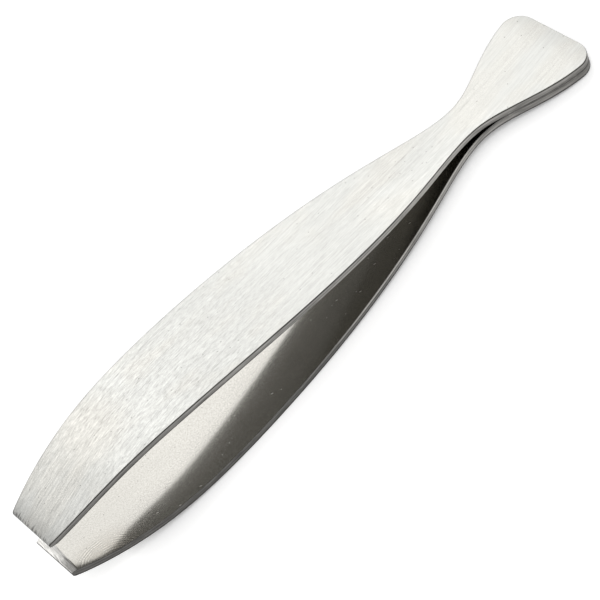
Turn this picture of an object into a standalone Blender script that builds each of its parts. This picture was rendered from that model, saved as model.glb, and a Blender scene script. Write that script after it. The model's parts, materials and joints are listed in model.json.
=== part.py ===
"""Fish-bone tongs: two bowed steel leaves, welded at the tail and sprung at the neck.

Both leaves are the same stamping, fish-shaped in plan. One lies turned over on the other, the two tails
are spot-welded flat together, and from the seam's end the leaves bow apart. The mouth's two faces are
ground so that they meet flat when the leaves are squeezed. Each leaf bends at its narrow neck, so there it
is divided into a fixed tail and an arm that turns about the neck.

Frame: +X runs from the tail to the mouth, +Y across and +Z up. The tongs lie on their lower leaf, on the
plane Z = 0, and the origin is under the middle of their bounding box. Lengths are in metres.
"""

import math

import bmesh
import bpy
import numpy as np
from mathutils import Matrix, Vector
from mathutils.geometry import interpolate_bezier

# Sheet and overall length
LEAF_LENGTH = 0.1000
SHEET_THICKNESS = 0.00105
ARRIS_WIDTH = 0.00013

# Plan outline, full widths; the tail flares to a share of the body's width
BODY_WIDTH = 0.01477
NECK_WIDTH = 0.00550
TIP_WIDTH = 0.00782
TAIL_FLARE_SHARE = 1.055
TAIL_CORNER_RADIUS = 0.0031
TAIL_LENGTH = 0.01965

# Side profile: spaces between the two leaves' inner faces; the seam is flat for a share of the tail's length
SEAM_GAP = 0.0002
SEAM_FLAT_SHARE = 0.6667
BODY_OPENING = 0.0133
TIP_OPENING = 0.0060
GRIP_OPENING = 0.0070
CLOSED_GAP = 0.0001
TIP_ROUND = 0.00045
TIP_SLOPE = math.radians(-21.0)

# Flexing line and welds
FLEX_GAP = 0.0003
WELD_DIAMETER = 0.0030
WELD_THICKNESS = 0.0006
WELD_CLEARANCE = 0.0002
WELD_ROUNDING = 0.0001

# Fineness of the faceted sheet, the last facet's setback from the mouth, and the cutters' reach past a cut
STATION_PITCH = 0.00125
TIP_SETBACK = 0.0019
CUT_OVERRUN = 0.0010

# Shares of the arm's length: where the body is widest, and where the leaves are furthest apart
BODY_WIDEST_SHARE = 0.52
CREST_SHARE = 0.75

# Handles of the outline's curves, as shares of the span that each one lies in
TAIL_HANDLE_SHARES = (0.45, 0.31)
BODY_HANDLE_SHARES = (0.18, 0.65)
TIP_HANDLE_SHARES = (0.66, 0.04)
TIP_TAPER = -0.44

# Handles of the side profile's curves, as shares of their spans
FLANK_HANDLE_SHARES = (0.19, 0.30)
JAW_HANDLE_SHARES = (0.40, 0.42)

# Places of the welds: shares of the seam's length and of the tail's half width there
WELD_PLACE_SHARES = {
    "spot_weld_left": (0.40, 0.52),
    "spot_weld_right": (0.40, -0.52),
    "spot_weld_centre": (0.78, 0.0),
}

CURVE_SAMPLES = 240
CORNER_STEPS = 6
ROUND_SIDES = 24
ARRIS_SEGMENTS = 2
TIP_ROUND_SEGMENTS = 3
SHARP_ANGLE = math.radians(35.0)
FLAT_ANGLE = math.radians(0.1)

TAIL_WIDTH = TAIL_FLARE_SHARE * BODY_WIDTH
SEAM_LENGTH = SEAM_FLAT_SHARE * TAIL_LENGTH
ARM_LENGTH = LEAF_LENGTH - TAIL_LENGTH
HALF_SEAM = SEAM_GAP / 2


def new_collection(name):
    collection = bpy.data.collections.new(name)
    bpy.context.scene.collection.children.link(collection)
    return collection


def clear_scene():
    for existing in list(bpy.data.objects):
        bpy.data.objects.remove(existing, do_unlink=True)


def steel(name, colour, roughness):
    """A bare stainless steel with its own tone and polish."""
    material = bpy.data.materials.new(name)
    material.use_nodes = True
    shader = material.node_tree.nodes["Principled BSDF"]
    shader.inputs["Base Color"].default_value = (*colour, 1.0)
    shader.inputs["Metallic"].default_value = 1.0
    shader.inputs["Roughness"].default_value = roughness
    return material


def curve_points(arcs):
    """Samples a chain of Bezier arcs; each arc is (start, handle, handle, end) in a plane."""
    points = []
    for arc in arcs:
        flat = [Vector((along, level, 0.0)) for along, level in arc]
        start, first_handle, last_handle, end = flat
        points += interpolate_bezier(start, first_handle, last_handle, end, CURVE_SAMPLES)
    return np.array([point.x for point in points]), np.array([point.y for point in points])


def arc_between(start, end, shares, start_slope=0.0, end_slope=0.0):
    """One arc whose handles are shares of its span, laid along the slopes at its ends."""
    span = end[0] - start[0]
    reach = shares[0] * span
    pull = shares[1] * span
    first_handle = (start[0] + reach, start[1] + reach * start_slope)
    last_handle = (end[0] - pull, end[1] - pull * end_slope)
    return start, first_handle, last_handle, end


def outline_curve():
    """Half width of the leaf along X: the tail's flare, the neck, the fish's body and the mouth."""
    tail = (0.0, TAIL_WIDTH / 2)
    neck = (TAIL_LENGTH, NECK_WIDTH / 2)
    body = (TAIL_LENGTH + BODY_WIDEST_SHARE * ARM_LENGTH, BODY_WIDTH / 2)
    tip = (LEAF_LENGTH, TIP_WIDTH / 2)
    return curve_points(
        [
            arc_between(tail, neck, TAIL_HANDLE_SHARES),
            arc_between(neck, body, BODY_HANDLE_SHARES),
            arc_between(body, tip, TIP_HANDLE_SHARES, end_slope=TIP_TAPER),
        ]
    )


def profile_curve():
    """Height of the upper leaf's inner face along X: the flat seam, the bowed flank and the inturned jaw."""
    tip_slope = math.tan(TIP_SLOPE)
    seam_end = (SEAM_LENGTH, HALF_SEAM)
    crest = (TAIL_LENGTH + CREST_SHARE * ARM_LENGTH, BODY_OPENING / 2)
    tip = (LEAF_LENGTH, TIP_OPENING / 2)
    return curve_points(
        [
            arc_between(seam_end, crest, FLANK_HANDLE_SHARES),
            arc_between(crest, tip, JAW_HANDLE_SHARES, end_slope=tip_slope),
        ]
    )


OUTLINE = outline_curve()
PROFILE = profile_curve()


def half_width(x):
    """Half width at x, with the tail's rounded corner, carried on past the tip at the mouth's taper."""
    width = np.interp(x, *OUTLINE)
    if x < TAIL_CORNER_RADIUS:
        inset = TAIL_CORNER_RADIUS - x
        width -= TAIL_CORNER_RADIUS - math.sqrt(TAIL_CORNER_RADIUS**2 - inset**2)
    if x > LEAF_LENGTH:
        width += (x - LEAF_LENGTH) * TIP_TAPER
    return width


def inner_height(x):
    """Height of the inner face at x, carried on straight past the tip."""
    height = np.interp(x, *PROFILE)
    if x > LEAF_LENGTH:
        height += (x - LEAF_LENGTH) * math.tan(TIP_SLOPE)
    return height


def corner_stations():
    """Places along X round the tail's corner, at even turns of its arc."""
    turns = np.linspace(0.0, math.pi / 2, CORNER_STEPS + 1)
    return [TAIL_CORNER_RADIUS * (1.0 - math.cos(turn)) for turn in turns]


def even_stations(start, end):
    """Places along X where the sheet is faceted, about one pitch apart."""
    count = max(2, round((end - start) / STATION_PITCH))
    return list(np.linspace(start, end, count + 1))


def hinge_point():
    """The middle of the upper leaf's sheet at the neck, where the leaf bends."""
    return Vector((TAIL_LENGTH, 0.0, inner_height(TAIL_LENGTH) + SHEET_THICKNESS / 2))


HINGE = hinge_point()


def closing_angle():
    """Turn of one arm that brings its ground tip down until only the closed gap is left between the two."""
    return math.asin((GRIP_OPENING - CLOSED_GAP) / 2 / ARM_LENGTH)


def sheet_mesh(name, places, origin):
    """The leaf's inner face over these places, as a grid bent to the profile, about the given origin."""
    last = len(places) - 1
    grid = bmesh.new()
    bmesh.ops.create_grid(grid, x_segments=last, y_segments=1, size=0.5)
    for vertex in grid.verts:
        x = places[round((vertex.co.x + 0.5) * last)]
        y = 2.0 * vertex.co.y * half_width(x)
        vertex.co = Vector((x, y, inner_height(x))) - origin
    mesh = bpy.data.meshes.new(name)
    grid.to_mesh(mesh)
    grid.free()
    return mesh


def add_object(name, mesh, collection, parent, material=None):
    made = bpy.data.objects.new(name, mesh)
    collection.objects.link(made)
    made.parent = parent
    if material:
        made.data.materials.append(material)
    return made


def add_empty(name, collection, parent=None, location=(0.0, 0.0, 0.0)):
    empty = bpy.data.objects.new(name, None)
    empty.empty_display_size = TAIL_WIDTH
    empty.location = location
    empty.parent = parent
    collection.objects.link(empty)
    return empty


def thicken(piece):
    """Gives the bent face its sheet thickness, outwards."""
    solidify = piece.modifiers.new("sheet", "SOLIDIFY")
    solidify.thickness = SHEET_THICKNESS
    solidify.offset = 1.0
    solidify.use_even_offset = True


def cut(piece, cutter, name):
    boolean = piece.modifiers.new(name, "BOOLEAN")
    boolean.operation = "DIFFERENCE"
    boolean.solver = "EXACT"
    boolean.object = cutter


def break_arrises(piece, width):
    """The narrow rounding that tumbling leaves on every sheared edge."""
    bevel = piece.modifiers.new("arrises", "BEVEL")
    bevel.width = width
    bevel.segments = ARRIS_SEGMENTS
    bevel.limit_method = "ANGLE"
    bevel.angle_limit = SHARP_ANGLE


def box_cutter(name, size, collection, parent):
    """A box of the given size with its origin in the middle of its -X, +Z edge."""
    mesh = bpy.data.meshes.new(name)
    block = bmesh.new()
    bmesh.ops.create_cube(block, size=1.0)
    bmesh.ops.translate(block, verts=block.verts, vec=(0.5, 0.0, -0.5))
    bmesh.ops.scale(block, verts=block.verts, vec=size)
    block.to_mesh(mesh)
    block.free()
    cutter = add_object(name, mesh, collection, parent)
    cutter.hide_render = True
    cutter.display_type = "WIRE"
    return cutter


def disc_mesh(name, radius, thickness):
    mesh = bpy.data.meshes.new(name)
    disc = bmesh.new()
    bmesh.ops.create_cone(
        disc, cap_ends=True, segments=ROUND_SIDES, radius1=radius, radius2=radius, depth=thickness
    )
    disc.to_mesh(mesh)
    disc.free()
    return mesh


def set_result(piece):
    """Replaces the piece's mesh by what its modifiers make of it."""
    bpy.context.view_layer.update()
    depsgraph = bpy.context.evaluated_depsgraph_get()
    result = bpy.data.meshes.new_from_object(piece.evaluated_get(depsgraph))
    piece.modifiers.clear()
    piece.data = result


def join_flats(tail):
    """Joins the facets of the tail's flat faces, so that each weld's pocket lies in one face."""
    solid = bmesh.new()
    solid.from_mesh(tail.data)
    bmesh.ops.dissolve_limit(solid, angle_limit=FLAT_ANGLE, verts=solid.verts, edges=solid.edges)
    solid.to_mesh(tail.data)
    solid.free()


def round_tip(arm):
    """Rounds the outer edge at the mouth, which is softer than the leaf's other edges."""
    middle = inner_height(LEAF_LENGTH) + SHEET_THICKNESS / 2 - HINGE.z
    solid = bmesh.new()
    solid.from_mesh(arm.data)
    outer_edge = [
        edge
        for edge in solid.edges
        if edge.calc_length() > TIP_WIDTH / 2
        and all(abs(v.co.x - ARM_LENGTH) < ARRIS_WIDTH and v.co.z > middle for v in edge.verts)
    ]
    bmesh.ops.bevel(
        solid,
        geom=outer_edge,
        offset=TIP_ROUND,
        segments=TIP_ROUND_SEGMENTS,
        profile=0.5,
        affect="EDGES",
        clamp_overlap=True,
    )
    solid.to_mesh(arm.data)
    solid.free()


def make_tail(name, collection, parent, pockets, material):
    """The fixed end of the upper leaf: the flared tail, up to the flexing line, with half of each pocket."""
    places = corner_stations()[:-1] + even_stations(TAIL_CORNER_RADIUS, TAIL_LENGTH - FLEX_GAP / 2)
    tail = add_object(name, sheet_mesh(name, places, Vector()), collection, parent, material)
    thicken(tail)
    set_result(tail)
    join_flats(tail)
    break_arrises(tail, ARRIS_WIDTH)
    for pocket in pockets:
        cut(tail, pocket, pocket.name)
    set_result(tail)
    return tail


def make_arm(name, collection, cutters, pivot, material):
    """The upper leaf's arm, about its neck: the sheet is trimmed square at the mouth, its outer tip edge is
    rounded, and its inner tip edge is ground flat, in the plane where both arms meet when they close."""
    places = even_stations(TAIL_LENGTH + FLEX_GAP / 2, LEAF_LENGTH - TIP_SETBACK)
    places.append(LEAF_LENGTH + CUT_OVERRUN)
    arm = add_object(name, sheet_mesh(name, places, HINGE), collection, pivot, material)
    thicken(arm)

    reach = BODY_OPENING + CUT_OVERRUN
    across = BODY_WIDTH + 2 * CUT_OVERRUN
    trim = box_cutter("tip_trim", (reach, across, 2 * reach), cutters, pivot)
    trim.location = (ARM_LENGTH, 0.0, reach)
    cut(arm, trim, "square end")

    grind = box_cutter("grip_grind", (2 * reach, across, reach), cutters, pivot)
    opened = Matrix.Rotation(-closing_angle(), 4, "Y")
    face_when_closed = Matrix.Translation((ARM_LENGTH - reach, 0.0, CLOSED_GAP / 2 - HINGE.z))
    grind.matrix_local = opened @ face_when_closed
    cut(arm, grind, "ground grip face")

    set_result(arm)
    round_tip(arm)
    break_arrises(arm, ARRIS_WIDTH)
    set_result(arm)
    return arm


def turned_over(piece, name, collection, parent):
    """The lower leaf's copy of a piece: the same stamping, turned over about the tongs' length."""
    copy = add_object(name, piece.data, collection, parent)
    copy.rotation_euler.x = math.pi
    return copy


def make_weld(name, collection, cutters, parent, place_shares, material):
    """One weld nugget in the seam, and the cutter that leaves its pocket in both tails."""
    along_share, across_share = place_shares
    along = along_share * SEAM_LENGTH
    place = (along, across_share * half_width(along), 0.0)
    nugget = add_object(name, disc_mesh(name, WELD_DIAMETER / 2, WELD_THICKNESS), collection, parent, material)
    nugget.location = place
    break_arrises(nugget, WELD_ROUNDING)

    pocket_radius = WELD_DIAMETER / 2 + WELD_CLEARANCE
    pocket_depth = WELD_THICKNESS + 2 * WELD_CLEARANCE
    pocket = add_object(name + "_pocket", disc_mesh(name + "_pocket", pocket_radius, pocket_depth), cutters, parent)
    pocket.location = place
    pocket.hide_render = True
    pocket.display_type = "WIRE"
    return nugget, pocket


def outer_points():
    """Points along the outer face of the bowed leaf, each a sheet's thickness out from the inner face."""
    along, height = PROFILE
    slope = np.arctan(np.gradient(height, along))
    return along - SHEET_THICKNESS * np.sin(slope), height + SHEET_THICKNESS * np.cos(slope)


def lying_tilt():
    """Slope of a table under the lower leaf, from the tail's bottom edge to where the bowed body touches."""
    along, height = outer_points()
    drop = height - HALF_SEAM - SHEET_THICKNESS
    return float(np.arctan2(drop, along - ARRIS_WIDTH).max())


def world_corners(pieces):
    bpy.context.view_layer.update()
    depsgraph = bpy.context.evaluated_depsgraph_get()
    corners = []
    for piece in pieces:
        seen = piece.evaluated_get(depsgraph)
        corners += [seen.matrix_world @ vertex.co for vertex in seen.data.vertices]
    return np.array(corners)


def lay_down(frame, pieces):
    """Tilts the tongs until tail and body both lie on the table, and puts the origin under their middle."""
    frame.rotation_euler.y = -lying_tilt()
    corners = world_corners(pieces)
    low = corners.min(axis=0)
    high = corners.max(axis=0)
    middle = (low + high) / 2
    frame.location = (-middle[0], -middle[1], -low[2])
    bpy.context.view_layer.update()


def shade(piece):
    """Smooth shading over the bowed faces, with the sheet's edges left crisp."""
    piece.data.shade_smooth()
    piece.data.set_sharp_from_angle(angle=SHARP_ANGLE)


def main():
    clear_scene()
    tongs = new_collection("fish_bone_tongs")
    cutters = new_collection("cutters")
    frame = add_empty("lying_frame", tongs)

    brushed = steel("brushed_steel", (0.72, 0.71, 0.69), 0.32)
    weld_metal = steel("weld_metal", (0.45, 0.44, 0.42), 0.55)

    nuggets = []
    pockets = []
    for name, place_shares in WELD_PLACE_SHARES.items():
        nugget, pocket = make_weld(name, tongs, cutters, frame, place_shares, weld_metal)
        nuggets.append(nugget)
        pockets.append(pocket)

    upper_pivot = add_empty("upper_neck", tongs, frame, HINGE)
    lower_pivot = add_empty("lower_neck", tongs, frame, (HINGE.x, 0.0, -HINGE.z))
    upper_tail = make_tail("upper_leaf_tail", tongs, frame, pockets, brushed)
    lower_tail = turned_over(upper_tail, "lower_leaf_tail", tongs, frame)
    upper_arm = make_arm("upper_leaf_arm", tongs, cutters, upper_pivot, brushed)
    lower_arm = turned_over(upper_arm, "lower_leaf_arm", tongs, lower_pivot)

    pieces = [upper_tail, lower_tail, upper_arm, lower_arm, *nuggets]
    for piece in pieces:
        shade(piece)
    lay_down(frame, pieces)

    print(f"each arm turns {math.degrees(closing_angle()):.3f} degrees to close")
    for pivot in ("upper_neck", "lower_neck"):
        print(pivot, [round(c, 6) for c in bpy.data.objects[pivot].matrix_world.translation])


main()
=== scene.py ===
"""Fish-bone tongs lying on a pale table: two bowed leaves of stainless sheet, spot-welded at the tail."""

import json
import math

import bpy
import numpy as np
from mathutils import Matrix, Quaternion, Vector
from mathutils.geometry import interpolate_bezier


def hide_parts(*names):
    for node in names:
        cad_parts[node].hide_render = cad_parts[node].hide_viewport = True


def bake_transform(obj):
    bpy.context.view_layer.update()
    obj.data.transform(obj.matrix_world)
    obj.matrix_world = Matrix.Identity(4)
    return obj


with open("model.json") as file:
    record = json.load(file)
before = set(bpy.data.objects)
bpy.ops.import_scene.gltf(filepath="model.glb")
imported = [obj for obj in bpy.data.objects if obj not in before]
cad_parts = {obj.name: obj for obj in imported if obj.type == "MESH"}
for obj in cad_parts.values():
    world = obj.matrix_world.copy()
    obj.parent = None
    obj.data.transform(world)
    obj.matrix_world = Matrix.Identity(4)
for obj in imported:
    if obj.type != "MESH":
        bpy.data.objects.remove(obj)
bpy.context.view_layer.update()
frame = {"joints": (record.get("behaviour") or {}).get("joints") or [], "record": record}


# The blank: both leaves are one stamping, cut from stainless sheet about a millimetre thick.
# In plan it is a fish: a flared tail with rounded corners, a narrow neck, a full body and a straight mouth.

sheet = 0.00105
leaf_length = 0.1000
tail_length = 0.01965
arm_length = leaf_length - tail_length
body_width = 0.01477
body_share = 0.52
body_place = tail_length + body_share * arm_length
tail_share = 1.055
tail_width = tail_share * body_width
tail_corner = 0.0031
neck_width = 0.00550
mouth_width = 0.00782
mouth_taper = 0.44
curve_points = 1500


def sweep(start, end, reach, pull, leaving=0.0, arriving=0.0):
    """One long curve of the blank or the bow, as points; its handles are shares of its span."""
    span = end[0] - start[0]
    points = (
        start,
        (start[0] + reach * span, start[1] + reach * span * leaving),
        (end[0] - pull * span, end[1] - pull * span * arriving),
        end,
    )
    drawn = interpolate_bezier(*[Vector((*point, 0.0)) for point in points], curve_points)
    return np.array([(point.x, point.y) for point in drawn])


at_neck = (tail_length, neck_width / 2)
at_body = (body_place, body_width / 2)
at_mouth = (leaf_length, mouth_width / 2)
plan = np.vstack(
    [
        sweep((0.0, tail_width / 2), at_neck, reach=0.45, pull=0.31),
        sweep(at_neck, at_body, reach=0.18, pull=0.65),
        sweep(at_body, at_mouth, reach=0.66, pull=0.04, arriving=-mouth_taper),
    ]
)


def half_width(x):
    """Half the blank's width at a place along it, less the tail's corner, and carried on past the mouth."""
    x = np.asarray(x, float)
    width = np.interp(x, plan[:, 0], plan[:, 1])
    into_corner = np.clip(tail_corner - x, 0.0, tail_corner)
    width = width - (tail_corner - np.sqrt(tail_corner**2 - into_corner**2))
    return width - mouth_taper * np.clip(x - leaf_length, 0.0, None)


# The bow: the press leaves the tail flat as far as the seam goes, bows the flank outwards and turns the jaw
# in. Heights are those of the upper leaf's inner face over the plane that the two leaves part along.

half_seam = 0.0001
seam_share = 0.6667
seam_length = seam_share * tail_length
crest_share = 0.75
crest = (tail_length + crest_share * arm_length, 0.00665)
mouth_height = 0.00303
mouth_slope = math.tan(math.radians(-18.5))

bow = np.vstack(
    [
        [(-tail_length, half_seam)],
        sweep((seam_length, half_seam), crest, reach=0.19, pull=0.30),
        sweep(crest, (leaf_length, mouth_height), reach=0.36, pull=0.36, arriving=mouth_slope),
    ]
)
slope_step = 0.0004


def bow_height(x):
    """Height of the inner face at places along the leaf, carried on past the mouth at its slope."""
    return np.interp(x, bow[:, 0], bow[:, 1]) + np.clip(x - leaf_length, 0.0, None) * mouth_slope


def inner_face(x):
    """Points of the inner face, and its outward normals, at places along the leaf."""
    x = np.asarray(x, float)
    slope = (bow_height(x + slope_step) - bow_height(x - slope_step)) / (2 * slope_step)
    length = np.hypot(1.0, slope)
    return np.stack([x, bow_height(x)], -1), np.stack([-slope / length, 1.0 / length], -1)


# The mouth: the end is sheared square, its outer edge is tumbled round, and the inner edge is ground to a
# narrow flat face, at the angle at which both leaves' faces meet when the tongs are squeezed shut.
# The wheel leaned a little to one side, so each leaf's ground face is wider at one end of its mouth.

closing_travel = 0.0069
closing_turn = math.asin(closing_travel / 2 / arm_length)
half_gap_closed = 0.00005
wheel_leans = {"upper": -0.020, "lower": 0.031}
hinge = inner_face(np.array([tail_length]))[0][0] + np.array([0.0, sheet / 2])

mouth_reach = 0.0020
longest_ground = 0.0026
shortest_ground = 0.0001
ground_search = 400
mouth_round = 0.00045
mouth_arris = 0.00008
ground_ease = 0.00006

# The mouth's rows: up to the rounding, round it, down the end face, and up to the ground face.
lead_shares = np.array([[0.0], [0.3], [0.5], [0.7], [0.9]])
round_rows = 8
end_shares = (0.12, 0.6)
eases_before_ground = np.array([5.0, 2.2, 1.0])


def ground_height(x, share, wheel_lean):
    """Height of the ground face: level with the leaf shut, and turned up about the neck with it open."""
    along = np.array([math.cos(closing_turn), math.sin(closing_turn)])
    up = np.array([-math.sin(closing_turn), math.cos(closing_turn)])
    start = hinge + up * (half_gap_closed - hinge[1])
    across = share * half_width(x)
    return start[1] + (x - start[0]) * along[1] / along[0] + wheel_lean * across


def mouth_paths(share, wheel_lean):
    """The last of the leaf from the side, at a share of its half width: the outer face round the mouth's
    end, and the inner face on to the ground face, both ending at the mouth's edge with as many points."""
    places = np.linspace(leaf_length - longest_ground, leaf_length - shortest_ground, ground_search)
    face, normal = inner_face(places)
    ground_start = places[np.argmax(face[:, 1] < ground_height(places, share, wheel_lean))]
    inner_join, join_normal = inner_face(np.array([leaf_length - mouth_reach]))
    outer_join = inner_join[0] + sheet * join_normal[0]

    outer_face = face + sheet * normal
    end_top = np.interp(leaf_length, outer_face[:, 0], outer_face[:, 1])
    turn = math.pi / 2 - math.atan(abs(mouth_slope))
    setback = mouth_round * math.tan(turn / 2)
    centre = np.array([leaf_length - mouth_round, end_top - setback])
    angles = np.linspace(turn, 0.0, round_rows)
    arc = centre + mouth_round * np.stack([np.cos(angles), np.sin(angles)], -1)
    lip = ground_height(leaf_length, share, wheel_lean) + mouth_arris
    outer = np.vstack(
        [
            outer_join + lead_shares * (arc[0] - outer_join),
            arc,
            [(leaf_length, arc[-1][1] + down * (lip - arc[-1][1])) for down in end_shares],
            [(leaf_length, lip + ground_ease / 2), (leaf_length, lip)],
        ]
    )
    lead = np.vstack(
        [
            inner_join,
            inner_face(ground_start - ground_ease * eases_before_ground)[0],
            [(ground_start, ground_height(ground_start, share, wheel_lean) + ground_ease / 4)],
        ]
    )
    on_ground = np.linspace(ground_start + ground_ease, leaf_length - mouth_arris, len(outer) - len(lead))
    ground = np.stack([on_ground, ground_height(on_ground, share, wheel_lean)], -1)
    return outer, np.vstack([lead, ground])


# The sheared edge, from the outer face down: a drawn-in arris, a burnished band, the torn band set back
# from it, and an arris that tumbling has taken the burr off. Depths are shares of the sheet, insets metres.

edge_section = np.array(
    [
        (0.000, 0.000048),
        (0.012, 0.000026),
        (0.034, 0.000010),
        (0.070, 0.000002),
        (0.110, 0.000000),
        (0.330, 0.000000),
        (0.480, 0.000002),
        (0.520, 0.000006),
        (0.700, 0.000008),
        (0.930, 0.000009),
        (0.970, 0.000015),
        (0.990, 0.000026),
        (1.000, 0.000042),
    ]
)


# A leaf, blanked and pressed: one closed mesh, a grid for each face and the sheared edge round them. Its
# rows run across it, close together round the tail's corner and at the mouth, and its columns along it.

corner_rows = 13
body_rows = 191
column_shares = np.concatenate([[-1.0, -0.993], np.linspace(-0.96, 0.96, 21), [0.993, 1.0]])
parting_length = 0.0022
parting_ease = 0.0030
touching_share = 0.1
full_inset_share = 0.45
width_step = 0.00002
sharp_angle = math.radians(38.0)
outer_finish, edge_finish, inner_finish, ground_finish = range(4)


def pressed_leaf(name, finishes, wheel_lean):
    """A whole leaf, upright, with its four finishes."""
    corner_turn = np.linspace(0.0, math.pi / 2, corner_rows)
    corner = tail_corner * (1.0 - np.cos(corner_turn))
    body = np.linspace(tail_corner, leaf_length - mouth_reach, body_rows)
    feet = np.concatenate([corner[:-1], body[:-1]])
    face, normal = inner_face(feet)
    # The tails touch in the seam, a hair closer than the frame keeps them, and part just before the neck.
    touching = face.copy()
    in_seam = np.clip((tail_length - parting_length - feet) / parting_ease, 0.0, 1.0)
    touching[:, 1] -= (face[:, 1] - touching_share * half_seam) * in_seam
    turn = math.atan(mouth_slope)
    lean = np.array([-math.sin(turn), math.cos(turn)])
    mouth_foot = np.array([leaf_length, mouth_height])

    # Each column runs the whole length, at its share of the half width, along the outer and the inner face.
    count = len(column_shares)
    paths = {"outer": [], "inner": []}
    halves = {"outer": [], "inner": []}
    runs = {"outer": [], "inner": []}
    for share in column_shares:
        outer_mouth, inner_mouth = mouth_paths(share, wheel_lean)
        both = (("outer", face + sheet * normal, outer_mouth), ("inner", touching, inner_mouth))
        for side, start, mouth in both:
            path = np.vstack([start, mouth])
            lift = (mouth - mouth_foot) @ lean
            paths[side].append(path)
            halves[side].append(half_width(np.concatenate([feet, mouth[:, 0] - lift * lean[0]])))
            runs[side].append(np.concatenate([[0.0], np.cumsum(np.hypot(*np.diff(path, axis=0).T))]))
    rows = len(paths["outer"][0])

    # The inset of the sheared edge points square to the outline, also round the tail's corner.
    stations = np.arange(0.0, leaf_length, width_step)
    slope = np.gradient(half_width(stations), width_step)
    inset_x = np.zeros(rows)
    inset_y = np.hypot(1.0, np.interp(paths["outer"][0][:, 0], stations, slope))
    inset_x[:corner_rows] = np.cos(corner_turn)
    inset_y[:corner_rows] = np.sin(corner_turn)

    verts = []
    sheet_place = []
    from_side = []

    def add(row, level, column):
        """One point: how far down the sheared edge it lies, on which row and which column."""
        depth, inset = edge_section[level]
        outer = paths["outer"][column][row]
        inner = paths["inner"][column][row]
        # Where grinding has thinned the sheet at the mouth, the insets shrink with it.
        inset = inset * min(1.0, np.hypot(*(outer - inner)) / (full_inset_share * sheet))
        x, z = outer + depth * (inner - outer)
        outer_half, inner_half = halves["outer"][column][row], halves["inner"][column][row]
        outer_run, inner_run = runs["outer"][column][row], runs["inner"][column][row]
        half = outer_half + depth * (inner_half - outer_half)
        run = outer_run + depth * (inner_run - outer_run)
        y = column_shares[column] * (half - inset * inset_y[row])
        verts.append((x + inset * inset_x[row], y, z))
        sheet_place.append((run + inset * inset_x[row], y, (1.0 - depth) * sheet))
        from_side.append(half * (1.0 - abs(column_shares[column])))
        return len(verts) - 1

    last = len(edge_section) - 1
    top = [[add(row, 0, column) for column in range(count)] for row in range(rows)]
    low = [[add(row, last, column) for column in range(count)] for row in range(rows)]
    sides = []
    for column in (0, count - 1):
        inner_levels = [[add(row, level, column) for level in range(1, last)] for row in range(rows)]
        sides.append([[top[row][column], *inner_levels[row], low[row][column]] for row in range(rows)])
    left, right = sides
    tail_end = [top[0]]
    for level in range(1, last):
        middle = [add(0, level, column) for column in range(1, count - 1)]
        tail_end.append([left[0][level], *middle, right[0][level]])
    tail_end.append(low[0])

    faces = []
    kinds = []

    def quad(corners, kind):
        faces.append(corners)
        kinds.append(kind)

    first_ground = len(feet) + 1 + len(eases_before_ground)
    end_face = len(feet) + len(lead_shares) + round_rows - 1
    for row in range(rows - 1):
        after = row + 1
        top_kind = edge_finish if row >= end_face else outer_finish
        low_kind = ground_finish if row >= first_ground else inner_finish
        for column in range(count - 1):
            beside = column + 1
            quad((top[row][column], top[after][column], top[after][beside], top[row][beside]), top_kind)
            quad((low[row][column], low[row][beside], low[after][beside], low[after][column]), low_kind)
        for level in range(last):
            below = level + 1
            quad((left[row][level], left[row][below], left[after][below], left[after][level]), edge_finish)
            opposite = (right[row][level], right[after][level], right[after][below], right[row][below])
            quad(opposite, edge_finish)
    for column in range(count - 1):
        beside = column + 1
        for level in range(last):
            upper, lower = tail_end[level], tail_end[level + 1]
            quad((upper[column], upper[beside], lower[beside], lower[column]), edge_finish)
        quad((top[-1][column], low[-1][column], low[-1][beside], top[-1][beside]), edge_finish)
    quad(tuple(left[-1]), edge_finish)
    quad(tuple(reversed(right[-1])), edge_finish)

    mesh = bpy.data.meshes.new(name)
    mesh.from_pydata(verts, [], faces)
    place = mesh.attributes.new("sheet_place", "FLOAT_VECTOR", "POINT")
    place.data.foreach_set("vector", np.array(sheet_place, np.float32).ravel())
    rim = mesh.attributes.new("from_side", "FLOAT", "POINT")
    rim.data.foreach_set("value", np.array(from_side, np.float32))
    for finish in finishes:
        mesh.materials.append(finish)
    mesh.polygons.foreach_set("material_index", kinds)
    mesh.shade_smooth()
    mesh.set_sharp_from_angle(angle=sharp_angle)
    mesh.update()
    return mesh


# The outer face is brushed on a belt, a few degrees off the leaf's length: short fine lines, a few longer
# scratches and pits, and ragged dark ends of the lines where the belt ran over the mouth. All finishes of
# the sheet are laid out on it as it lay flat: X is the length run along it, Y across it and Z its depth.

mouth_run = 0.1010
brush_slant = math.radians(-6.0)
line_slant = 0.8 * brush_slant
pitted_shade_centre = (0.0285, -0.0022, sheet)
jaw_centre = (0.0865, -0.0025, sheet)
plain_steel = (0.387, 0.387, 0.371, 1.0)
warm_steel = (0.394, 0.380, 0.349, 1.0)


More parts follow.
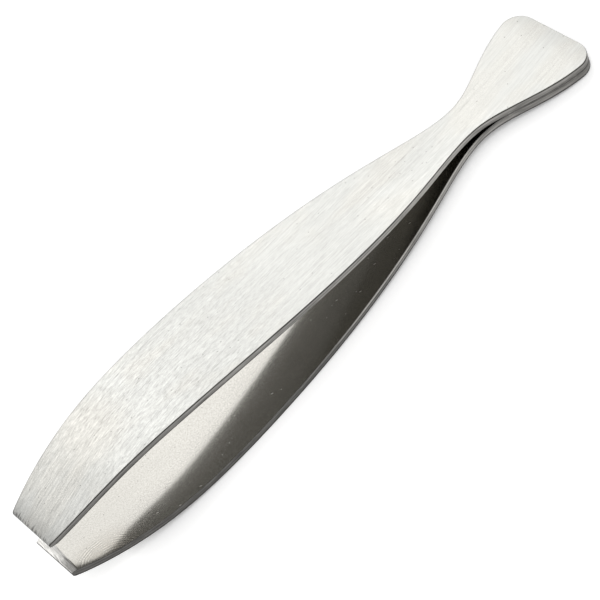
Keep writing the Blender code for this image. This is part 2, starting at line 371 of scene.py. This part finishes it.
class Signal:
    """A value or a colour on its way through a finish's nodes. Arithmetic on it adds Math nodes."""

    def __init__(self, tree, socket=None):
        self.tree = tree
        self.socket = socket

    def node(self, kind, settings=None, inputs=None, output=0):
        """Adds a node: its settings first, then its inputs, each a number, a colour or another signal."""
        made = self.tree.nodes.new(kind)
        for name, value in (settings or {}).items():
            if name == "stops":
                # A new ramp comes with two stops.
                for place, _ in value[2:]:
                    made.color_ramp.elements.new(place)
                for stop, (place, colour) in zip(made.color_ramp.elements, value):
                    stop.position = place
                    stop.color = colour
            else:
                setattr(made, name, value)
        for name, value in (inputs or {}).items():
            if isinstance(value, Signal):
                self.tree.links.new(value.socket, made.inputs[name])
            else:
                made.inputs[name].default_value = value
        return Signal(self.tree, made.outputs[output])

    def maths(self, operation, first, second=0.0):
        return self.node("ShaderNodeMath", {"operation": operation}, {0: first, 1: second})

    def __add__(self, other):
        return self.maths("ADD", self, other)

    def __sub__(self, other):
        return self.maths("SUBTRACT", self, other)

    def __rsub__(self, other):
        return self.maths("SUBTRACT", other, self)

    def __mul__(self, other):
        return self.maths("MULTIPLY", self, other)

    def __truediv__(self, other):
        return self.maths("DIVIDE", self, other)

    __radd__ = __add__
    __rmul__ = __mul__


def bare_metal(name):
    material = bpy.data.materials.new(name)
    material.use_nodes = True
    shader = material.node_tree.nodes["Principled BSDF"]
    shader.inputs["Metallic"].default_value = 1.0
    return material, shader


def stored(material, name, output):
    """What the mesh keeps about each of its points, as a signal."""
    return Signal(material.node_tree).node("ShaderNodeAttribute", {"attribute_name": name}, output=output)


def bare_steel(name):
    """A new steel finish: its material, its shader, and the place on the sheet that its marks follow."""
    material, shader = bare_metal(name)
    return material, shader, stored(material, "sheet_place", "Vector")


def plug(shader, name, signal):
    signal.tree.links.new(signal.socket, shader.inputs[name])


def plug_bump(shader, height, strength, depth):
    """Gives the surface relief: its height is counted in depths."""
    inputs = {"Height": height, "Strength": strength, "Distance": depth}
    plug(shader, "Normal", height.node("ShaderNodeBump", {}, inputs))


def ramp_between(signal, low, high, start=0.0, end=1.0):
    """A smooth change from start to end as the signal goes from low to high."""
    return signal.node(
        "ShaderNodeMapRange",
        {"interpolation_type": "SMOOTHSTEP"},
        {"Value": signal, "From Min": low, "From Max": high, "To Min": start, "To Max": end},
    )


def fade_between(signal, low, high):
    """1 up to low, and a smooth fall to 0 at high."""
    return ramp_between(signal, low, high, 1.0, 0.0)


def band_between(signal, rising, full, falling, gone):
    """A band of the signal: a smooth rise from rising to full, and a smooth fall from falling to gone."""
    return ramp_between(signal, rising, full) * fade_between(signal, falling, gone)


def sway(noise_signal, amount):
    """A noise to both sides of zero, by an amount that is a number or another signal."""
    return (noise_signal - 0.5) * amount


def part_of(place, axis):
    return place.node("ShaderNodeSeparateXYZ", {}, {"Vector": place}, output="XYZ".index(axis))


def distance_from(place, centre):
    return place.node("ShaderNodeVectorMath", {"operation": "DISTANCE"}, {0: place, 1: centre}, "Value")


def stretched(place, along, across, turn=0.0):
    """The place counted in cells: so many to a metre along the lines and across them."""
    rotated = {"Vector": place, "Angle": turn}
    turned = place.node("ShaderNodeVectorRotate", {"rotation_type": "Z_AXIS"}, rotated)
    cells = {0: turned, 1: (along, across, across)}
    return place.node("ShaderNodeVectorMath", {"operation": "MULTIPLY"}, cells)


def noise(cells, detail=2.0, roughness=0.5):
    inputs = {"Vector": cells, "Scale": 1.0, "Detail": detail, "Roughness": roughness}
    return cells.node("ShaderNodeTexNoise", {}, inputs)


def marks(cells, size, kept):
    """Separate small marks, at most one to a flat cell, in a share of the cells: 1 inside a mark."""
    flat = {"voronoi_dimensions": "2D"}
    found = {"Vector": cells, "Scale": 1.0}
    distance = cells.node("ShaderNodeTexVoronoi", flat, found, output="Distance")
    chance = part_of(cells.node("ShaderNodeTexVoronoi", flat, found, output="Color"), "X")
    return fade_between(distance, 0.5 * size, size) * cells.maths("LESS_THAN", chance, kept)


def tinted(shade, colour):
    """A grey shade times a colour."""
    return shade.node("ShaderNodeVectorMath", {"operation": "SCALE"}, {0: colour, "Scale": shade})


def mixed(share, first, second):
    """A colour between two, at a share of the way from the first to the second."""
    inputs = {"Factor": share, 6: first, 7: second}
    return share.node("ShaderNodeMix", {"data_type": "RGBA"}, inputs, output=2)


def brushed_outside():
    material, shader, place = bare_steel("brushed_outer_face")
    run = part_of(place, "X")
    across = part_of(place, "Y")
    fine = noise(stretched(place, along=820.0, across=9500.0, turn=brush_slant), detail=3.0, roughness=0.65)
    lines = noise(stretched(place, along=75.0, across=7200.0, turn=line_slant), detail=3.0, roughness=0.65)
    broad = noise(stretched(place, along=50.0, across=900.0, turn=brush_slant))
    clouds = noise(stretched(place, along=90.0, across=220.0))
    speckle = noise(stretched(place, along=6500.0, across=6500.0), roughness=0.7)
    dashed = noise(stretched(place, along=1300.0, across=6200.0, turn=brush_slant), detail=0.0)
    combed = noise(stretched(place, along=330.0, across=5000.0, turn=brush_slant), detail=0.0)
    torn = noise(stretched(place, along=500.0, across=5400.0, turn=brush_slant), detail=0.0)

    # The lines grow stronger past the neck, and again from the body's middle on.
    past_neck = ramp_between(run, 0.016, 0.030)
    past_middle = ramp_between(run, 0.056, 0.084)
    strength = 0.16 + 0.34 * past_neck + 0.60 * past_middle
    shade = 1.0 + sway(fine, 0.85 * strength) + sway(lines, 0.22 + 0.34 * strength) + sway(broad, 0.04)
    rough = ramp_between(run, 0.048, 0.062)
    shade = shade + sway(clouds, 0.03) + sway(speckle, 0.16 + 0.56 * strength * rough)
    # They are longer before the body's middle, and again at the mouth.
    by_mouth = ramp_between(run, 0.087, 0.093)
    longer = 0.95 * (1.0 - rough) + 0.85 * by_mouth
    shade = shade + sway(dashed, 0.08 + 0.31 * strength) * (1.0 - longer)
    shade = shade + sway(combed, 0.10 + 0.28 * strength) * longer
    # The tone falls off at the tail's end. Over the jaw it is painted brighter, a painted reflection, and
    # it falls again at the mouth's end.
    tail_tone = ramp_between(run, 0.0, 0.0045, 0.86, 1.0)
    painted_jaw_highlight = ramp_between(run, 0.0830, 0.0895)
    painted_mouth_highlight = ramp_between(run, 0.0895, 0.0960)
    last_lines = ramp_between(run + sway(combed, 0.0030), 0.0980, 0.1003)
    jaw_tone = 1.0 + 0.16 * painted_jaw_highlight + 0.22 * painted_mouth_highlight - 0.32 * last_lines
    shade = shade * tail_tone * jaw_tone
    # The face is painted lighter at the neck, most on one side, as painted light, and darker on the body,
    # as painted shade.
    one_side = ramp_between(across, -0.0030, 0.0040)
    painted_neck_light = band_between(run, 0.012, 0.019, 0.028, 0.048)
    painted_body_shade = band_between(run, 0.052, 0.062, 0.073, 0.082)
    shade = shade * (1.0 + painted_neck_light * (0.028 + 0.085 * one_side) - 0.065 * painted_body_shade)

    # Handling has pitted the far side of the neck's end, which is also painted a little darker, as shade,
    # and rough spots lie about.
    wear_and_painted_shade = fade_between(distance_from(place, pitted_shade_centre), 0.002, 0.008)
    rubbed = ramp_between(clouds + sway(fine, 0.4) + wear_and_painted_shade * 0.09, 0.55, 0.66)
    shade = shade + sway(speckle, 0.45) * rubbed - 0.040 * wear_and_painted_shade

    scratches = marks(stretched(place, along=30.0, across=1000.0, turn=brush_slant), size=0.060, kept=0.7)
    dashes = marks(stretched(place, along=260.0, across=2600.0, turn=brush_slant), size=0.10, kept=0.07)
    pits = marks(stretched(place, along=650.0, across=650.0), size=0.065, kept=0.16 + wear_and_painted_shade * 0.40)
    shade = shade * (1.0 - 0.13 * scratches) * (1.0 - 0.16 * dashes) * (1.0 - 0.42 * pits)

    from_end = mouth_run - run + sway(torn, 0.0022)
    run_off = ramp_between(from_end, 0.0, 0.0007, 0.62, 0.0)
    shade = shade * (1.0 - run_off)
    # Along one side a thin line beside the arris is painted dark: painted shade where the arris turns over.
    painted_shade_line = ramp_between(stored(material, "from_side", "Fac"), 0.00003, 0.00017, 0.30, 0.0)
    shade = shade * (1.0 - painted_shade_line * fade_between(across, -0.001, 0.0))

    # It is a little warmer where thumbs hold the jaw.
    patchy = ramp_between(clouds, 0.45, 0.65)
    held = fade_between(distance_from(place, jaw_centre), 0.002, 0.008)
    warmth = 0.4 * patchy + 0.6 * held
    plug(shader, "Base Color", tinted(shade, mixed(warmth, plain_steel, warm_steel)))
    plug(shader, "Roughness", ramp_between(fine, 0.3, 0.7, 0.36, 0.28) + 0.25 * pits)
    height = sway(fine, 0.5) + sway(lines, 0.4) - 1.0 * pits - 0.4 * scratches
    plug_bump(shader, height, strength=0.25, depth=0.00001)
    return material


# The inner face keeps the sheet's satin from the mill, nearly a mirror at a slant, with the pits and rough
# spots of handling. The press has drawn fine ripples round one corner of the mouth, and that corner has
# gone duller and a little brown.

ripple_centre = (0.0955, -0.0080, 0.0)
ripple_pitch = 0.00037
roll_slant = math.radians(2.0)
nick_slant = math.radians(-25.0)
clean_satin = (0.334, 0.325, 0.302, 1.0)
brown_satin = (0.272, 0.257, 0.229, 1.0)


def satin_inside():
    material, shader, place = bare_steel("satin_inner_face")
    run = part_of(place, "X")
    grain = noise(stretched(place, along=4600.0, across=5200.0), detail=3.0, roughness=0.6)
    finer = noise(stretched(place, along=20000.0, across=20000.0), detail=1.0)
    clouds = noise(stretched(place, along=160.0, across=300.0))
    rolled = noise(stretched(place, along=60.0, across=2600.0, turn=roll_slant))
    specks = noise(stretched(place, along=2700.0, across=2700.0), roughness=0.7)
    wander = noise(stretched(place, along=420.0, across=420.0), detail=1.0)

    radius = distance_from(place, ripple_centre)
    wave = place.maths("SINE", (radius + sway(wander, 0.0009)) * (2 * math.pi / ripple_pitch))
    ring = band_between(radius, 0.0024, 0.0034, 0.0052, 0.0064)
    ripples = wave * ring * ramp_between(wander + sway(grain, 0.6), 0.36, 0.54)
    dulled = fade_between(radius, 0.0035, 0.0085) * ramp_between(run, 0.086, 0.092)

    pits = marks(stretched(place, along=600.0, across=600.0), size=0.060, kept=0.18)
    nicks = marks(stretched(place, along=300.0, across=1300.0, turn=nick_slant), size=0.08, kept=0.07)
    shade = 1.0 + sway(grain, 0.80) + sway(clouds, 0.10) + sway(rolled, 0.08) + ripples * 0.36
    shade = shade + sway(specks, 0.24 + 0.16 * dulled)
    shade = shade * (1.0 - 0.42 * pits) * ramp_between(run, 0.078, 0.093, 1.0, 0.93)
    # Near the mouth the inner face is painted darker along its sides, as shade.
    rim = ramp_between(stored(material, "from_side", "Fac"), 0.00015, 0.00050, 0.42, 0.0)
    shade = shade * (1.0 - rim * ramp_between(run, 0.0925, 0.0955))
    browned = dulled * (0.7 + sway(specks, 2.0))
    plug(shader, "Base Color", tinted(shade, mixed(browned, clean_satin, brown_satin)))

    satin = ramp_between(finer + sway(grain, 0.25), 0.45, 0.65, 0.095, 0.21)
    satin = satin * (1.0 - 0.10 * ramp_between(run, 0.084, 0.092))
    plug(shader, "Roughness", satin + 0.25 * pits + 0.30 * nicks)
    # The sheet has set with a slight twist across, and a shallow dip along it before the mouth.
    twist = part_of(place, "Y") * 6500.0
    dip = band_between(run, 0.080, 0.0912, 0.0912, 0.1005)
    height = sway(grain, 0.12) + ripples * 0.03 - 0.5 * pits - 0.5 * nicks + twist - 165.0 * dip
    plug_bump(shader, height, strength=0.2, depth=0.00001)
    return material


# The sheared edge is tumbled: a dark line where the arris turns over, which is painted shade, a grey band
# with drawn lines, and a brighter line near the inner face, which is a painted highlight.

edge_tones_with_painted_shade = [
    (0.03, (0.13, 0.127, 0.120, 1.0)),
    (0.08, (0.10, 0.097, 0.092, 1.0)),
    (0.17, (0.23, 0.224, 0.213, 1.0)),
    (0.28, (0.26, 0.253, 0.240, 1.0)),
    (0.40, (0.25, 0.243, 0.230, 1.0)),
    (0.53, (0.32, 0.312, 0.297, 1.0)),
    (0.68, (0.37, 0.361, 0.345, 1.0)),
    (0.78, (0.24, 0.233, 0.222, 1.0)),
    (0.86, (0.07, 0.068, 0.063, 1.0)),
    (0.98, (0.07, 0.068, 0.063, 1.0)),
]


def sheared_edge():
    material, shader, place = bare_steel("sheared_edge")
    run = part_of(place, "X")
    level = part_of(place, "Z") / sheet
    beside = place.node("ShaderNodeCombineXYZ", {}, {0: run, 1: part_of(place, "Z")})
    lines = noise(stretched(beside, along=210.0, across=5600.0), detail=3.0, roughness=0.65)
    patches = noise(stretched(beside, along=600.0, across=2200.0))
    nicks = marks(stretched(beside, along=500.0, across=2600.0), size=0.16, kept=0.12)
    wavering = level + sway(lines, 0.16) + sway(patches, 0.12)
    band = level.node("ShaderNodeValToRGB", {"stops": edge_tones_with_painted_shade}, {"Fac": wavering})
    shade = 1.0 + sway(lines, 1.9) + sway(patches, 0.5) + nicks * 0.4
    # The edge is painted darker towards the mouth, as shade.
    shade = shade * ramp_between(run, 0.066, 0.092, 1.0, 0.70)

    # Along the neck and the flank the edge is painted lighter, with a brighter line beside the inner face,
    # brightest on
    # the other side: painted highlights. On one side of the blank the edge is painted lighter along the
    # neck, darker after it, and darker by the inner face past the body's middle; on the other side the torn
    # band is painted darker.
    # These are painted light and shade.
    one_side = ramp_between(part_of(place, "Y"), -0.0005, 0.0005)
    other_side = 1.0 - one_side
    flank = band_between(run, 0.017, 0.023, 0.046, 0.060)
    painted_highlight_line = band_between(level, 0.0, 0.05, 0.20, 0.32)
    shade = shade + flank * (0.19 + painted_highlight_line * (0.85 + 0.90 * other_side))
    painted_light_band = band_between(run, 0.020, 0.026, 0.031, 0.040)
    wear_and_painted_shade = band_between(run, 0.034, 0.040, 0.054, 0.062) * ramp_between(level, 0.20, 0.35)
    painted_arris_shade = fade_between(level, 0.03, 0.28) * ramp_between(run, 0.056, 0.066)
    shade = shade * (1.0 + one_side * (0.16 * painted_light_band - 0.20 * wear_and_painted_shade - 0.60 * painted_arris_shade))
    torn = ramp_between(run, 0.030, 0.044) * ramp_between(level, 0.18, 0.36)
    shade = shade * (1.0 - other_side * (0.42 * torn))
    plug(shader, "Base Color", tinted(shade, band))
    plug(shader, "Roughness", ramp_between(lines, 0.3, 0.7, 0.50, 0.36))
    plug_bump(shader, sway(lines, 0.8) + sway(patches, 0.6) - nicks, strength=0.4, depth=0.00002)
    return material


# The grip face is ground slantwise by a coarse wheel, which only brushed one end of it and left that dull.
# The wheel's marks are bright near the mouth's edge and greyer farther in.

ground_steel = (0.43, 0.423, 0.406)
wheel_slant = math.radians(80.0)
deep_slant = math.radians(78.0)


def ground_mouth():
    material, shader, place = bare_steel("ground_grip_face")
    wheel_marks = stretched(place, along=700.0, across=7000.0, turn=wheel_slant)
    scratches = noise(wheel_marks, detail=3.0, roughness=0.6)
    deep = noise(stretched(place, along=500.0, across=3600.0, turn=deep_slant), roughness=0.6)
    stripes = noise(stretched(place, along=9000.0, across=300.0), roughness=0.6)
    from_end = mouth_run - part_of(place, "X") + sway(scratches, 0.0002)
    dull = fade_between(part_of(place, "Y") + sway(deep, 0.0008), -0.0016, -0.0010)
    dull = dull * ramp_between(from_end, 0.00040, 0.00050)
    shade = 1.0 + sway(scratches, 1.8) + sway(deep, 0.8)
    shade = shade * (1.0 - 0.30 * ramp_between(from_end, 0.00100, 0.00110))
    shade = shade * (1.0 - dull * (0.40 + sway(stripes, 1.2)))
    plug(shader, "Base Color", tinted(shade, ground_steel))
    plug(shader, "Roughness", ramp_between(scratches, 0.3, 0.7, 0.42, 0.30))
    plug_bump(shader, sway(scratches, 0.7) + sway(deep, 0.5), strength=0.3, depth=0.00002)
    return material


# The two leaves: one stamping upright, and one turned over under it. Each stands for its tail and its arm.

joints = {joint["name"]: Vector(joint["pos_m"]) for joint in frame["joints"]}
mounts = {mount["name"]: mount for mount in frame["record"]["mounts"]}
up = Vector(mounts["tail_upper_face"]["axis"]).normalized()
forward = Vector((up.z, 0.0, -up.x))
middle_of_necks = (joints["upper_neck_bend"] + joints["lower_neck_bend"]) / 2
lying = Matrix.Translation(middle_of_necks - forward * tail_length) @ Matrix(
    ((forward.x, 0.0, up.x, 0.0), (0.0, 1.0, 0.0, 0.0), (forward.z, 0.0, up.z, 0.0), (0.0, 0.0, 0.0, 1.0))
)
finishes = [brushed_outside(), sheared_edge(), satin_inside(), ground_mouth()]

for side, turned in (("upper", 0.0), ("lower", math.pi)):
    leaf = bpy.data.objects.new(side + "_leaf", pressed_leaf(side + "_leaf", finishes, wheel_leans[side]))
    bpy.context.scene.collection.objects.link(leaf)
    leaf.matrix_world = lying @ Matrix.Rotation(turned, 4, "X")
    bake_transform(leaf)
    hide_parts(side + "_leaf_tail", side + "_leaf_arm")


# The three spot welds, closed in between the two tails: dull nuggets of metal that has melted and set, with
# coarse crystals, and browner where it cooled last.

scorched_metal = (0.24, 0.20, 0.16, 1.0)
weld_metal = (0.42, 0.41, 0.39, 1.0)


def weld_nugget():
    material, shader = bare_metal("weld_nugget")
    place = Signal(material.node_tree).node("ShaderNodeTexCoord", output="Object")
    crystals = noise(stretched(place, along=9000.0, across=9000.0), detail=4.0, roughness=0.7)
    cooled = noise(stretched(place, along=1500.0, across=1500.0))
    colour = mixed(ramp_between(cooled, 0.35, 0.65), scorched_metal, weld_metal)
    plug(shader, "Base Color", tinted(0.7 + crystals * 0.6, colour))
    plug(shader, "Roughness", ramp_between(crystals, 0.3, 0.7, 0.68, 0.5))
    plug_bump(shader, crystals, strength=0.5, depth=0.00003)
    return material


nugget_finish = weld_nugget()
for name in ("spot_weld_left", "spot_weld_right", "spot_weld_centre"):
    nugget = bpy.data.objects[name]
    nugget.data.materials.clear()
    nugget.data.materials.append(nugget_finish)


# The table: a plain white surface. It is lifted to white where the camera or the metal sees it, also far
# off where the lamps are weaker, and keeps the shadow under the tongs.

white = (1.0, 1.0, 1.0, 1.0)
table_reach = 3.0
shadow_reach = 0.0030


def kinds_of_ray(tree):
    """Three signals: whether a ray is the camera's, off something shiny, or through something clear."""
    names = ("Is Camera Ray", "Is Glossy Ray", "Is Transmission Ray")
    return [Signal(tree).node("ShaderNodeLightPath", output=name) for name in names]


table_material = bpy.data.materials.new("pale_table")
table_material.use_nodes = True
table_shader = table_material.node_tree.nodes["Principled BSDF"]
table_shader.inputs["Roughness"].default_value = 0.9
table_shader.inputs["Specular IOR Level"].default_value = 0.0
table_shader.inputs["Emission Strength"].default_value = 1.0
seen, mirrored, through = kinds_of_ray(table_material.node_tree)
overhead = seen.node("ShaderNodeAmbientOcclusion", {"samples": 16}, {"Distance": shadow_reach}, output="AO")
open_sky = ramp_between(overhead, 0.30, 0.95)
shaded = seen + (1.0 - seen) * open_sky
on_table = seen.node("ShaderNodeTexCoord", output="Object")
far_off = ramp_between(distance_from(on_table, (0.0, 0.0, 0.0)), 0.2, 0.6)
plug(table_shader, "Base Color", tinted((0.85 + 0.03 * seen) * shaded, white[:3]))
lift = (0.42 * overhead + 0.6 * far_off) * seen + (0.20 * mirrored + 0.20 * through) * open_sky
plug(table_shader, "Emission Color", tinted(lift, white[:3]))

table_mesh = bpy.data.meshes.new("table")
corners = [(x * table_reach, y * table_reach, 0.0) for x, y in ((-1, -1), (1, -1), (1, 1), (-1, 1))]
table_mesh.from_pydata(corners, [], [(0, 1, 2, 3)])
table_mesh.materials.append(table_material)
table = bpy.data.objects.new("table", table_mesh)
bpy.context.scene.collection.objects.link(table)


# The studio: white walls that light the object dimly, a soft box over the far side, which the outer face
# and the bright part of the inner face mirror, and another over the near side, which lights the near edges.

world = bpy.data.worlds.new("studio")
bpy.context.scene.world = world
world.use_nodes = True
walls = world.node_tree.nodes["Background"]
walls.inputs["Color"].default_value = white
walls.inputs["Strength"].default_value = 0.25
seen, mirrored, through = kinds_of_ray(world.node_tree)
looked_at = seen.maths("MAXIMUM", seen.maths("MAXIMUM", seen, mirrored), through)
dim = Signal(world.node_tree, walls.outputs["Background"])
bright = seen.node("ShaderNodeBackground", {}, {"Color": white, "Strength": 1.0})
room = seen.node("ShaderNodeMixShader", {}, {0: looked_at, 1: dim, 2: bright})
plug(world.node_tree.nodes["World Output"], "Surface", room)

energy_per_radiance = 4.0


def soft_box(name, azimuth, elevation, roll, distance, width, height, radiance):
    """A lamp facing the object, with its radiance. Azimuth counts from the far side towards the mouth."""
    turn, rise = math.radians(azimuth), math.radians(elevation)
    toward = Vector((math.sin(turn) * math.cos(rise), -math.cos(turn) * math.cos(rise), math.sin(rise)))
    rolled = Quaternion((0.0, 0.0, 1.0), math.radians(roll))
    lamp_data = bpy.data.lights.new(name, "AREA")
    lamp_data.shape = "RECTANGLE"
    lamp_data.size = width
    lamp_data.size_y = height
    lamp_data.energy = energy_per_radiance * radiance * width * height
    lamp = bpy.data.objects.new(name, lamp_data)
    lamp.location = toward * distance
    lamp.rotation_mode = "QUATERNION"
    lamp.rotation_quaternion = toward.to_track_quat("Z", "Y") @ rolled
    bpy.context.scene.collection.objects.link(lamp)


soft_box(
    "far_soft_box",
    azimuth=-21.0,
    elevation=41.3,
    roll=-25.0,
    distance=1.1,
    width=1.0,
    height=0.876,
    radiance=1.2,
)
soft_box(
    "near_soft_box",
    azimuth=165.0,
    elevation=52.0,
    roll=0.0,
    distance=1.2,
    width=1.15,
    height=1.15,
    radiance=2.1,
)


# The camera: a long lens above the near side, a little towards the mouth. Its place, turn and lens were
# fitted to the photographed edges of the tongs.

camera_data = bpy.data.cameras.new("camera")
camera_data.sensor_width = 36.0
camera_data.lens = 131.343
camera_data.clip_start = 0.01
camera_data.clip_end = 20.0
camera = bpy.data.objects.new("camera", camera_data)
camera.location = (0.051877, 0.178852, 0.232952)
camera.rotation_euler = [math.radians(angle) for angle in (33.30439, 21.69265, 135.25247)]
bpy.context.scene.collection.objects.link(camera)
bpy.context.scene.camera = camera
bpy.context.scene.view_settings.view_transform = "Standard"
